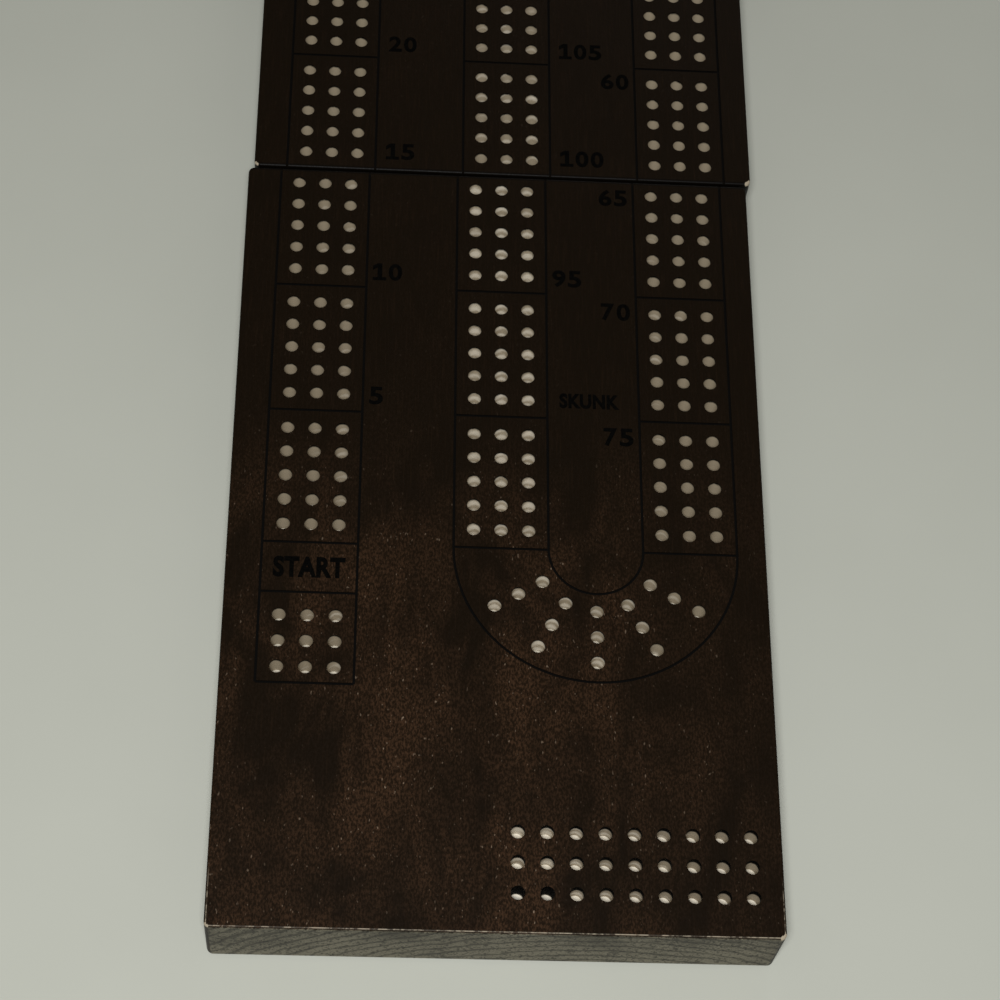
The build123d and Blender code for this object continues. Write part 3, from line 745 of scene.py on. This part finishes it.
# %% [markdown]
# The knob and three pegs are turned brass, and the other pegs turned steel, bright and
# blackened. A lathe tool leaves fine lines round the piece, so the noise is squeezed along Y,
# the axis that they were turned about, and hardly changes across it. The nickel plated magnets
# share the recipe.

# %% Turned metals
turning_pitch = 0.12        # mm, between the tool's lines, drawn about twice as coarse as they are
film_size = 2.2             # mm, patches of finger grease and oxide
film_roughness = 0.12       # what such a film adds


def turned_metal(name, dull, bright, rough):
    """Lathe turned metal: bright, with a thin patchy film and fine lines round the Y axis."""
    material, tree = new_finish(name)
    place = add_node(tree, "TexCoord")
    marks_place = add_node(tree, "Mapping", {
        "Vector": place.outputs["Object"],
        "Scale": (per_metre(40), per_metre(turning_pitch), per_metre(40)),
    })
    marks = add_node(tree, "TexNoise", {
        "Vector": marks_place, "Scale": 1.0, "Detail": 2.0, "Roughness": 0.5,
    })
    film = add_node(tree, "TexNoise", {
        "Vector": place.outputs["Object"],
        "Scale": per_metre(film_size), "Detail": 4.0, "Roughness": 0.6,
    })
    colour = add_node(tree, "ValToRGB", {"Fac": film}, stops=[
        (0.35, screen_colour(dull)), (0.6, screen_colour(bright)),
    ])
    roughness = add_node(tree, "MapRange", {
        "Value": film, "From Min": 0.3, "From Max": 0.7,
        "To Min": rough + film_roughness, "To Max": rough,
    })
    bump = add_node(tree, "Bump", {"Height": marks, "Strength": 0.25, "Distance": mm(0.02)})
    shader = add_node(tree, "BsdfPrincipled", {
        "Base Color": colour, "Metallic": 1.0, "Roughness": roughness, "Normal": bump,
    })
    return close_finish(material, shader)


turned_brass = turned_metal("turned_brass", "A98240", "D8B566", 0.2)
dress("drawer_knob", turned_brass)
dress("pegs_brass", turned_brass)
dress("pegs_steel", turned_metal("turned_steel", "8E9092", "C9CBCC", 0.22))
dress("pegs_black", turned_metal("blackened_steel", "15161A", "2C2D31", 0.3))
nickel = turned_metal("nickel_plate", "9A978F", "CFCBC0", 0.18)
dress("magnets_near", nickel)
dress("magnets_far", nickel)

# %% [markdown]
# The feet are discs cut from pressed felt. Felt has no weave: its short fibres lie every way, so
# even noise does for both the mottled colour and the rough surface, and a sheen gives the soft
# light that fibres catch at a low angle.

# %% Pressed felt
tuft_size = 0.6             # mm


def pressed_felt(name):
    """Pressed wool felt, dyed dark: matt and mottled, with a soft sheen at grazing angles."""
    material, tree = new_finish(name)
    place = add_node(tree, "TexCoord")
    tufts = add_node(tree, "TexNoise", {
        "Vector": place.outputs["Object"],
        "Scale": per_metre(tuft_size), "Detail": 6.0, "Roughness": 0.75,
    })
    colour = add_node(tree, "ValToRGB", {"Fac": tufts}, stops=[
        (0.3, screen_colour("141414")), (0.7, screen_colour("3A3937")),
    ])
    bump = add_node(tree, "Bump", {"Height": tufts, "Strength": 0.9, "Distance": mm(0.15)})
    shader = add_node(tree, "BsdfPrincipled", {
        "Base Color": colour, "Roughness": 0.95, "Sheen Weight": 0.4, "Specular IOR Level": 0.1,
        "Normal": bump,
    })
    return close_finish(material, shader)


felt = pressed_felt("pressed_felt")
dress("feet_near", felt)
dress("feet_far", felt)

# %% [markdown]
# ## Burnt lettering
# The numbers count the holes, five at a time, and two words mark the start and the skunk line.
# They were burnt into the face, which leaves dry black char. Painting them into the wood's
# recipe would need a mask for every letter, so they are thin shapes of their own instead, sunk
# in the face and standing a hair's breadth proud of it.

# %% Char finish
soot_size = 0.5             # mm


def laser_char(name):
    """Charred wood: black, dry and slightly uneven."""
    material, tree = new_finish(name)
    place = add_node(tree, "TexCoord")
    soot = add_node(tree, "TexNoise", {
        "Vector": place.outputs["Object"],
        "Scale": per_metre(soot_size), "Detail": 4.0, "Roughness": 0.7,
    })
    colour = add_node(tree, "ValToRGB", {"Fac": soot}, stops=[
        (0.35, screen_colour("020202")), (0.75, screen_colour("0B0A08")),
    ])
    bump = add_node(tree, "Bump", {"Height": soot, "Strength": 0.4, "Distance": mm(0.05)})
    shader = add_node(tree, "BsdfPrincipled", {
        "Base Color": colour, "Roughness": 0.9, "Specular IOR Level": 0.02, "Normal": bump,
    })
    return close_finish(material, shader)


char = laser_char("laser_char")

# %% [markdown]
# A word is typed, made a little bolder and given a thickness, then turned into a mesh. Fonts
# have their own idea of size, so the mesh is measured and scaled until it has the width and
# height of the burnt word. It is made at the world's middle, with its lower left corner there,
# ready to be placed.

# %% One word
letter_rise = mm(0.02)      # above the face, so the shape is not lost in it
letter_sink = mm(0.05)      # below it
letter_thickness = letter_rise + letter_sink


def type_word(word, width, cap_height, boldness=0.03):
    """A word or figure as a thin mesh of this width and height, its lower left corner at zero."""
    bpy.ops.object.select_all(action="DESELECT")
    bpy.ops.object.text_add(location=(0, 0, 0))
    letters = bpy.context.object
    letters.data.body = word
    letters.data.offset = boldness
    letters.data.space_character = 1.05
    letters.data.extrude = 0.01
    letters.data.resolution_u = 4
    bpy.ops.object.convert(target="MESH")
    letters = bpy.context.object
    corners = [Vector(corner) for corner in letters.bound_box]
    low = Vector([min(corner[i] for corner in corners) for i in range(3)])
    high = Vector([max(corner[i] for corner in corners) for i in range(3)])
    size = high - low
    scale = Vector((width / size.x, cap_height / size.y, letter_thickness / size.z))
    bpy.ops.transform.resize(value=scale)
    bpy.ops.transform.translate(value=-low * scale)
    bpy.ops.object.transform_apply(location=True, rotation=True, scale=True)
    return letters


print("letters are", round(letter_thickness * 1000, 2), "mm thick")

# %% [markdown]
# The typed figure 1 is a bare stroke, while the burnt one has a foot and a slanted flag. It
# starts as a grid of nine faces: the rows and columns are moved to the edges of the strokes, the
# faces between the strokes are deleted, and the rest is extruded to the letters' thickness.

# %% The figure 1
figure_height = mm(4.9)
figure_width = mm(3.3)
one_columns = [0.0, mm(1.15), mm(2.25), figure_width]
one_rows = [0.0, mm(0.9), mm(3.7), figure_height]
flag_slope = mm(0.75)       # the flag's outer end hangs this much lower


def move_corners(mesh, corners, way):
    """Move the corners with these numbers, in edit mode."""
    for part in [*mesh.vertices, *mesh.edges, *mesh.polygons]:
        part.select = False
    for corner in corners:
        mesh.vertices[corner].select = True
    bpy.ops.object.mode_set(mode="EDIT")
    bpy.ops.transform.translate(value=way)
    bpy.ops.object.mode_set(mode="OBJECT")


def model_one():
    """The figure 1, its lower left corner at zero."""
    bpy.ops.object.select_all(action="DESELECT")
    middle = figure_width / 2
    bpy.ops.mesh.primitive_grid_add(
        x_subdivisions=3, y_subdivisions=3, size=figure_width, location=(middle, middle, 0),
    )
    bpy.ops.object.transform_apply(location=True, rotation=True, scale=True)
    one = bpy.context.object
    mesh = one.data
    cell = figure_width / 3
    column = {vertex.index: round(vertex.co.x / cell) for vertex in mesh.vertices}
    row = {vertex.index: round(vertex.co.y / cell) for vertex in mesh.vertices}

    bpy.context.tool_settings.mesh_select_mode = (True, False, False)
    for line in range(4):
        in_column = [corner for corner in column if column[corner] == line]
        move_corners(mesh, in_column, (one_columns[line] - line * cell, 0, 0))
        in_row = [corner for corner in row if row[corner] == line]
        move_corners(mesh, in_row, (0, one_rows[line] - line * cell, 0))
    flag_end = [corner for corner in column if column[corner] == 0 and row[corner] >= 2]
    move_corners(mesh, flag_end, (0, -flag_slope, 0))

    bpy.context.tool_settings.mesh_select_mode = (False, False, True)
    for face in mesh.polygons:
        beside_stem = not one_columns[1] < face.center.x < one_columns[2]
        above_foot = face.center.y > one_rows[1]
        is_flag = face.center.x < one_columns[1] and face.center.y > one_rows[2] - flag_slope
        face.select = beside_stem and above_foot and not is_flag
    bpy.ops.object.mode_set(mode="EDIT")
    bpy.ops.mesh.delete(type="FACE")
    bpy.ops.mesh.select_all(action="SELECT")
    bpy.ops.mesh.extrude_region_move(TRANSFORM_OT_translate={"value": (0, 0, letter_thickness)})
    bpy.ops.object.mode_set(mode="OBJECT")
    return one


# %% [markdown]
# A burnt number has all its figures in boxes of one size, a steady step apart, which a typed
# number hasn't. So each figure is modelled once, as a pattern, and a number is set with copies
# of them. Placing moves a piece and then applies the move, so that its object stays at the
# world's middle.

# %% Figures, and numbers set from their copies
figure_step = mm(3.85)      # from one figure to the next
patterns = {figure: type_word(figure, figure_width, figure_height) for figure in "023456789"}
patterns["1"] = model_one()
print("figures of", figure_width * 1000, "by", figure_height * 1000, "mm:", len(patterns))


def place_letters(letters, x, y):
    """Move a word or figure to its place, sunk in the face, its lower left corner at x and y."""
    bpy.ops.object.select_all(action="DESELECT")
    letters.select_set(True)
    bpy.context.view_layer.objects.active = letters
    bpy.ops.transform.translate(value=(x, y, face_z - letter_sink))
    bpy.ops.object.transform_apply(location=True, rotation=True, scale=True)
    return letters


def copy_figure(figure):
    """A copy of a figure's pattern, with a mesh of its own."""
    bpy.ops.object.select_all(action="DESELECT")
    patterns[figure].select_set(True)
    bpy.context.view_layer.objects.active = patterns[figure]
    bpy.ops.object.duplicate(linked=False)
    return bpy.context.object


def burn_number(number, x, y, from_right=False):
    """The figures of a number, from x to the right, or up to x where it is the right end."""
    if from_right:
        x -= (len(number) - 1) * figure_step + figure_width
    return [
        place_letters(copy_figure(figure), x + place * figure_step, y)
        for place, figure in enumerate(number)
    ]


# %% [markdown]
# The figures and words of a half are then joined into one piece that moves with it, and that
# piece gets the char. Doubled corners are merged, so that each letter is closed, and all faces
# are turned outwards.

# %% Joining the words of a half
def join_words(words, name, body):
    """Join the words of one half into a single piece that moves with it."""
    bpy.ops.object.select_all(action="DESELECT")
    for word in words:
        word.select_set(True)
    bpy.context.view_layer.objects.active = words[0]
    bpy.ops.object.join()
    piece = bpy.context.object
    piece.name = name
    bpy.ops.object.mode_set(mode="EDIT")
    bpy.ops.mesh.select_all(action="SELECT")
    bpy.ops.mesh.remove_doubles(threshold=mm(0.001))
    bpy.ops.mesh.normals_make_consistent(inside=False)
    bpy.ops.object.mode_set(mode="OBJECT")
    piece.data.materials.clear()
    piece.data.materials.append(char)
    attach(piece, body)
    print(name, len(words), "figures and words,", len(piece.data.polygons), "faces")


# %% [markdown]
# The places follow the playing field. Columns stand 44 mm apart and are framed by lines 22 mm
# apart, groups of five holes repeat every 35 mm, and a number stands just past the line that
# closes its group: right of the left and middle columns, which count away from the player, and
# left of the right column, which counts back.

# %% Places of the lettering
field_shift = mm(0.675)     # the playing field lies this far right of the board's middle
column_spacing = mm(44)
column_half = mm(11)
group_pitch = mm(35)
number_gap = mm(1.5)        # between a frame line and a number
number_lift = mm(2.1)       # between a cross line and a number
near_first_line = mm(34.6)  # seam to the first cross line of the near half
seam_number_gap = mm(3)     # between the seam and the number that hangs below it

near_x = near_middle.x + field_shift
left_x = near_x - column_spacing + column_half + number_gap
middle_x = near_x + column_half + number_gap
right_x = near_x + column_spacing - column_half - number_gap
first_y = seam_y - near_first_line
second_y = first_y - group_pitch
last_y = second_y - group_pitch
print("cross lines at", [round(y * 1000, 1) for y in (first_y, second_y, last_y)], "mm")

# %% Words on the near half
word_boldness = 0.045
skunk_height = mm(4.1)
skunk_width = mm(14.4)
skunk_x = middle_x + mm(1.4)
skunk_y = second_y + mm(2.9)
start_height = mm(5.4)
start_width = mm(16.5)
start_drop = mm(6.35)       # from the last cross line to the middle of the word
start_x = near_x - column_spacing - start_width / 2
start_y = last_y - start_drop - start_height / 2

near_words = [
    *burn_number("10", left_x, first_y + number_lift),
    *burn_number("5", left_x, second_y + number_lift),
    *burn_number("95", middle_x, first_y + number_lift),
    *burn_number("65", right_x, seam_y - seam_number_gap - figure_height, from_right=True),
    *burn_number("70", right_x, first_y - number_lift - figure_height, from_right=True),
    *burn_number("75", right_x, second_y - number_lift - figure_height, from_right=True),
    place_letters(type_word("SKUNK", skunk_width, skunk_height, word_boldness), skunk_x, skunk_y),
    place_letters(type_word("START", start_width, start_height, word_boldness), start_x, start_y),
]
join_words(near_words, "lettering_near", "near_half")

# %% [markdown]
# The far half goes on in the same way. Its first group starts at the seam, so the numbers of
# that group stand just above the seam itself, and the right column has none there. From then on,
# each cross line carries three numbers, and the list below names them line by line. The patterns
# of the figures have then done their work and are removed.

# %% Words on the far half
far_first_line = mm(35.4)   # seam to the first cross line of the far half
above_seam = mm(1.5)
far_number_gap = mm(2.6)
far_x = far_middle.x + field_shift
far_left_x = far_x - column_spacing + column_half + far_number_gap
far_middle_x = far_x + column_half + far_number_gap
far_right_x = far_x + column_spacing - column_half - number_gap
far_words = []
for group, (up_left, up_middle, down_right) in enumerate((
    ("15", "100", None),
    ("20", "105", "60"),
    ("25", "110", "55"),
    ("30", "115", "50"),
    ("35", "120", "45"),
)):
    line_y = seam_y + (far_first_line + (group - 1) * group_pitch if group else above_seam)
    far_words += burn_number(up_left, far_left_x, line_y + number_lift)
    far_words += burn_number(up_middle, far_middle_x, line_y + number_lift)
    if down_right:
        y = line_y - number_lift - figure_height
        far_words += burn_number(down_right, far_right_x, y, from_right=True)
join_words(far_words, "lettering_far", "far_half")
for pattern in patterns.values():
    bpy.data.objects.remove(pattern)

# %% [markdown]
# ## Table, light and camera
# The box lies on a pale, matt table. A plain flat sheet is enough for it, large enough that no
# view sees its edge, with a faint mottle so that it isn't one dead colour.

# %% Table
table_size = 6.0            # metres
table_gap = mm(0.1)         # the feet stand this little above it
mottle_size = 60            # mm

bpy.ops.object.select_all(action="DESELECT")
bpy.ops.mesh.primitive_grid_add(
    x_subdivisions=8, y_subdivisions=8, size=table_size, location=(0, 0, -table_gap),
)
table = bpy.context.object
table.name = "table"


def matt_table_top(name):
    """Painted table top, flat and matt: pale grey, a touch green, hardly any gloss."""
    material, tree = new_finish(name)
    place = add_node(tree, "TexCoord")
    mottle = add_node(tree, "TexNoise", {
        "Vector": place.outputs["Object"],
        "Scale": per_metre(mottle_size), "Detail": 4.0, "Roughness": 0.5,
    })
    colour = add_node(tree, "ValToRGB", {"Fac": mottle}, stops=[
        (0.3, screen_colour("B9BBB1")), (0.7, screen_colour("BCBEB4")),
    ])
    shader = add_node(tree, "BsdfPrincipled", {
        "Base Color": colour, "Roughness": 0.7, "Specular IOR Level": 0.1,
    })
    return close_finish(material, shader)


table.data.materials.append(matt_table_top("matt_table_top"))

# %% [markdown]
# The photograph was lit by a small light close to the camera: its shadows hide behind the board,
# and the table grows darker towards the far end. So the main lamp is a small soft disc in front
# of the board and above it. A weak, larger lamp beyond the far end and a dim, even sky keep the
# far sides from going black.

# %% World and lamps
sky_strength = 0.16
scene = bpy.context.scene
scene.world = bpy.data.worlds.new("plain_room")
scene.world.use_nodes = True
room = scene.world.node_tree
room.nodes.clear()
sky = add_node(room, "Background", {"Color": screen_colour("E8E7DC"), "Strength": sky_strength})
add_node(room, "OutputWorld", {"Surface": sky})


def soft_lamp(name, place, aim, size, power):
    """A round soft lamp at a place, turned to an aim: metres and watts."""
    lamp_data = bpy.data.lights.new(name, type="AREA")
    lamp_data.shape = "DISK"
    lamp_data.size = size
    lamp_data.energy = power
    lamp = bpy.data.objects.new(name, lamp_data)
    scene.collection.objects.link(lamp)
    lamp.location = place
    lamp.rotation_euler = (Vector(aim) - lamp.location).to_track_quat("-Z", "Y").to_euler()
    print(name, power, "W, ", round((Vector(aim) - Vector(place)).length, 2), "m from its aim")


soft_lamp("main_lamp", place=(-0.055, -0.42, 0.65), aim=(0.0, -0.09, 0.0), size=0.14, power=4.45)
soft_lamp("fill_lamp", place=(0.3, 1.0, 0.42), aim=(0.0, 0.15, 0.0), size=0.5, power=1.0)

# %% [markdown]
# Where did the photographer stand? The peg holes form a known grid, so a camera was fitted to
# their places in the photograph. It came out low in front of the near end, a little to the left,
# looking down through a long lens, so the far half runs out of the picture.

# %% Camera
sensor_width = 36.0         # mm
focal_length = 86.86        # mm
camera_place = (mm(-34.0), mm(-357.5), mm(517.6))
camera_turn = (radians(27.72), radians(-3.92), radians(0.07))

camera_data = bpy.data.cameras.new("camera")
camera_data.sensor_width = sensor_width
camera_data.lens = focal_length
camera = bpy.data.objects.new("camera", camera_data)
scene.collection.objects.link(camera)
camera.location = camera_place
camera.rotation_euler = camera_turn
scene.camera = camera
scene.view_settings.view_transform = "Standard"
print("camera", round(camera.location.length, 2), "m from the middle of the board")
